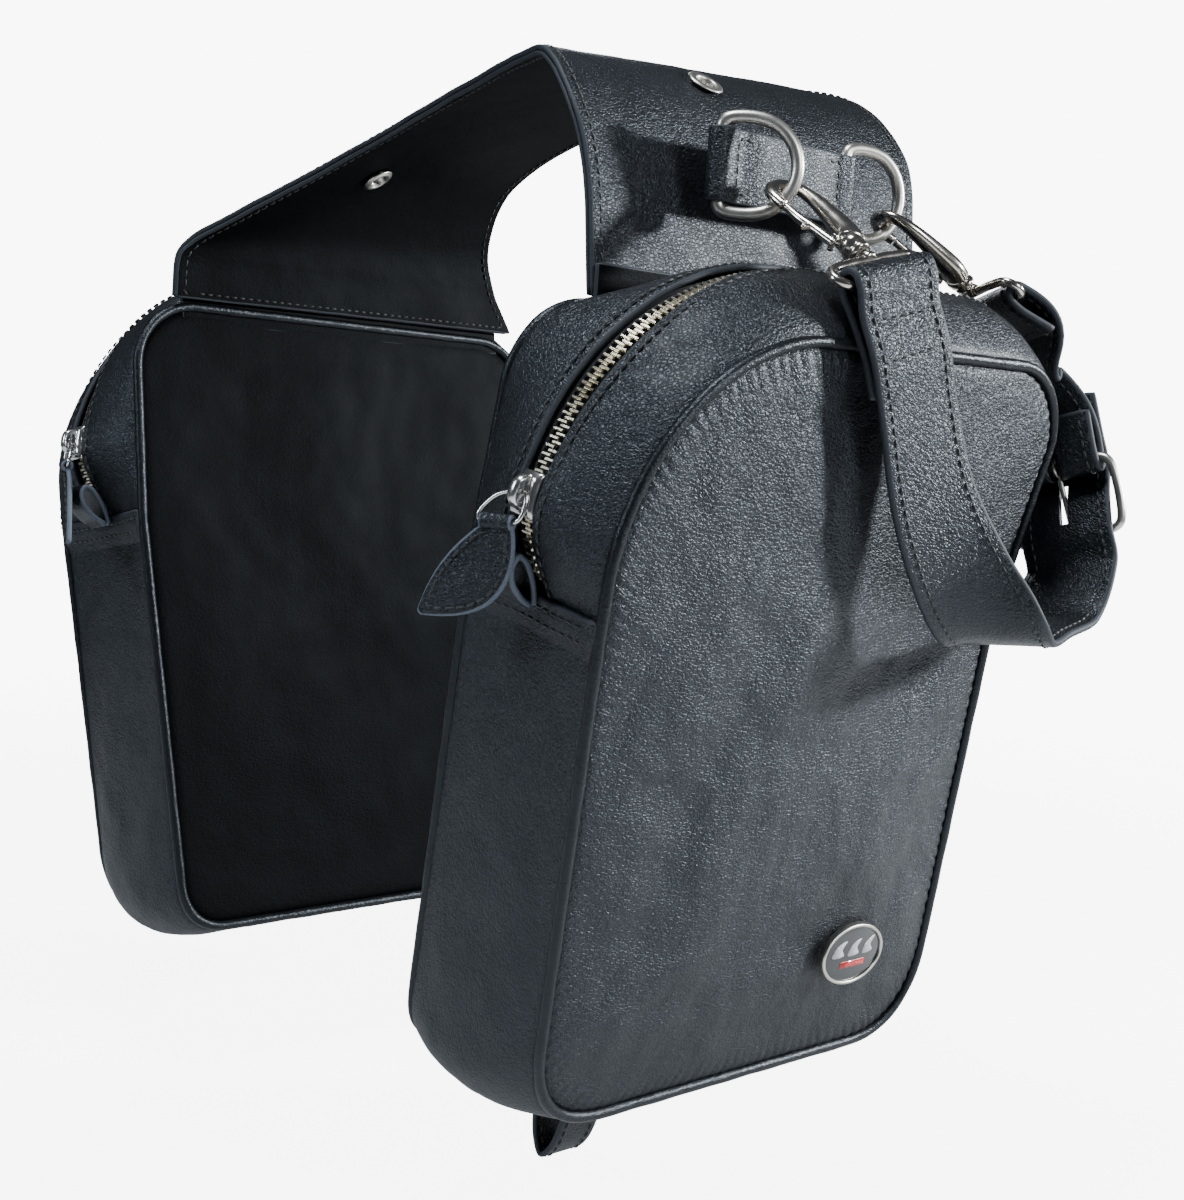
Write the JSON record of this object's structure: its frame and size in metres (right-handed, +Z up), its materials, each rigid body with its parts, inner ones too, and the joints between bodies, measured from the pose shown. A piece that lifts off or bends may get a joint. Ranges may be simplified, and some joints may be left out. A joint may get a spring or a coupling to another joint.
{
  "type": "pommel saddle bags",
  "caption": "Pair of zipped leather saddle bags hanging from a folded yoke, with D-rings, snap hooks, a buckled strap and leaf zip pulls.",
  "frame": {"origin": "middle of the yoke's underside, where it rests on the saddle", "axes": "+X towards the near bag with the snap hooks, +Y to the rear, +Z up"},
  "size_m": [0.4706, 0.3099, 0.4763],
  "materials": {
    "leather": "pebble grained, semi-matt",
    "lining": "smooth, matt",
    "piping": "rolled edge, satin",
    "tape": "woven, matt",
    "teeth": "pale, polished",
    "nickel": "satin nickel",
    "badge": "domed enamel in a metal rim"
  },
  "bodies": {
    "yoke_assembly": {"yoke": "leather", "yoke_lining": "lining", "near_ring_strap": "leather", "far_ring_strap": "leather", "near_eyelet": "nickel", "near_eyelet_washer": "nickel", "far_eyelet": "nickel", "far_eyelet_washer": "nickel"},
    "near_bag": {"near_inner_panel": "leather", "near_outer_panel": "leather", "near_inner_piping": "piping", "near_outer_piping": "piping", "near_lower_gusset": "leather", "near_inner_zip_strip": "leather", "near_outer_zip_strip": "leather", "near_zip_tape": "tape", "near_zip_teeth": "teeth", "near_zip_end_loop": "leather", "near_badge": "badge", "near_bottom_loop": "leather"},
    "far_bag": {"far_inner_panel": "leather", "far_outer_panel": "leather", "far_inner_piping": "piping", "far_outer_piping": "piping", "far_lower_gusset": "leather", "far_inner_zip_strip": "leather", "far_outer_zip_strip": "leather", "far_zip_tape": "tape", "far_zip_teeth": "teeth", "far_zip_end_loop": "leather", "far_badge": "badge"},
    "near_zip_slider": {"near_zip_slider": "nickel"},
    "near_pull_ring": {"near_pull_ring": "nickel"},
    "near_pull_leaf": {"near_pull_leaf": "leather"},
    "near_front_dring": {"near_front_dring": "nickel"},
    "near_rear_dring": {"near_rear_dring": "nickel"},
    "far_zip_slider": {"far_zip_slider": "nickel"},
    "far_pull_ring": {"far_pull_ring": "nickel"},
    "far_pull_leaf": {"far_pull_leaf": "leather"},
    "far_front_dring": {"far_front_dring": "nickel"},
    "far_rear_dring": {"far_rear_dring": "nickel"},
    "clip_strap": {"front_hook": "nickel", "rear_hook": "nickel", "long_strap": "leather", "short_strap": "leather", "buckle_frame": "nickel"},
    "front_hook_gate": {"front_hook_gate": "nickel"},
    "rear_hook_gate": {"rear_hook_gate": "nickel"},
    "front_hook_eye": {"front_hook_eye": "nickel"},
    "rear_hook_eye": {"rear_hook_eye": "nickel"},
    "buckle_prong": {"buckle_prong": "nickel"}
  },
  "joints": [
    {"name": "near_bag_swing", "type": "hinge", "parent": "yoke_assembly", "child": "near_bag", "pos_m": [0.141, 0, -0.102], "axis": [0, -1, 0], "range_deg": [-5, 2.5]},
    {"name": "far_bag_swing", "type": "hinge", "parent": "yoke_assembly", "child": "far_bag", "pos_m": [-0.141, 0, -0.102], "axis": [0, 1, 0], "range_deg": [-6, 4]},
    {"name": "near_zip_travel", "type": "hinge", "parent": "near_bag", "child": "near_zip_slider", "pos_m": [0.16233, -0.033, -0.19545], "axis": [-0.9833, 0, 0.1822], "range_deg": [-2, 62]},
    {"name": "near_pull_ring_swing", "type": "hinge", "parent": "near_zip_slider", "child": "near_pull_ring", "pos_m": [0.16637, -0.14716, -0.17363], "axis": [-0.9833, 0, 0.1822], "range_deg": [0, 35]},
    {"name": "near_pull_leaf_swing", "type": "hinge", "parent": "near_pull_ring", "child": "near_pull_leaf", "pos_m": [0.16057, -0.15156, -0.18463], "axis": [-0.9359, -0.3523, 0], "range_deg": [0, 35]},
    {"name": "far_zip_travel", "type": "hinge", "parent": "far_bag", "child": "far_zip_slider", "pos_m": [-0.16233, -0.033, -0.19545], "axis": [-0.9833, 0, -0.1822], "range_deg": [-2, 62]},
    {"name": "far_pull_ring_swing", "type": "hinge", "parent": "far_zip_slider", "child": "far_pull_ring", "pos_m": [-0.16637, -0.14716, -0.17363], "axis": [-0.9833, 0, -0.1822], "range_deg": [0, 35]},
    {"name": "far_pull_leaf_swing", "type": "hinge", "parent": "far_pull_ring", "child": "far_pull_leaf", "pos_m": [-0.16057, -0.15156, -0.18463], "axis": [-0.9359, 0.3523, 0], "range_deg": [0, 35]},
    {"name": "near_front_dring_play", "type": "hinge", "parent": "yoke_assembly", "child": "near_front_dring", "pos_m": [0.15, -0.043, -0.046], "axis": [0, 0, 1], "range_deg": [-1.5, 0.8]},
    {"name": "near_rear_dring_play", "type": "hinge", "parent": "yoke_assembly", "child": "near_rear_dring", "pos_m": [0.15, 0.032, -0.046], "axis": [0, 0, 1], "range_deg": [-1.5, 1.5]},
    {"name": "far_front_dring_swing", "type": "hinge", "parent": "yoke_assembly", "child": "far_front_dring", "pos_m": [-0.15, -0.043, -0.064], "axis": [0, 0, -1], "range_deg": [-30, 5]},
    {"name": "far_rear_dring_swing", "type": "hinge", "parent": "yoke_assembly", "child": "far_rear_dring", "pos_m": [-0.15, 0.032, -0.064], "axis": [0, 0, -1], "range_deg": [-40, 10]},
    {"name": "clip_strap_swing", "type": "hinge", "parent": "yoke_assembly", "child": "clip_strap", "pos_m": [0.1696, -0.0234, -0.0555], "axis": [0.1685, -0.9856, 0.0132], "range_deg": [-2.6, 1.4]},
    {"name": "front_gate_open", "type": "hinge", "parent": "clip_strap", "child": "front_hook_gate", "pos_m": [0.19828, -0.02857, -0.07587], "axis": [-0.5403, 0.2114, -0.8145], "range_deg": [0, 22], "stiffness_Nm_per_rad": 0.02},
    {"name": "front_eye_swivel", "type": "hinge", "parent": "clip_strap", "child": "front_hook_eye", "pos_m": [0.21851, -0.02095, -0.08731], "axis": [-0.8376, -0.042, 0.5447], "range_deg": [-2, 2]},
    {"name": "rear_gate_open", "type": "hinge", "parent": "clip_strap", "child": "rear_hook_gate", "pos_m": [0.16439, 0.08737, -0.0754], "axis": [0.0966, 0.5221, 0.8474], "range_deg": [0, 22], "stiffness_Nm_per_rad": 0.02},
    {"name": "rear_eye_swivel", "type": "hinge", "parent": "clip_strap", "child": "rear_hook_eye", "pos_m": [0.18054, 0.10214, -0.08633], "axis": [-0.4271, -0.7472, 0.5091], "range_deg": [-2, 2]},
    {"name": "buckle_prong_lift", "type": "hinge", "parent": "clip_strap", "child": "buckle_prong", "pos_m": [0.19993, 0.13256, -0.15322], "axis": [0.9324, 0.2005, 0.3008], "range_deg": [0, 5]}
  ],
  "couplings": [
    {"joint": "clip_strap_swing", "follows": "near_bag_swing", "ratio": 0.5}
  ]
}
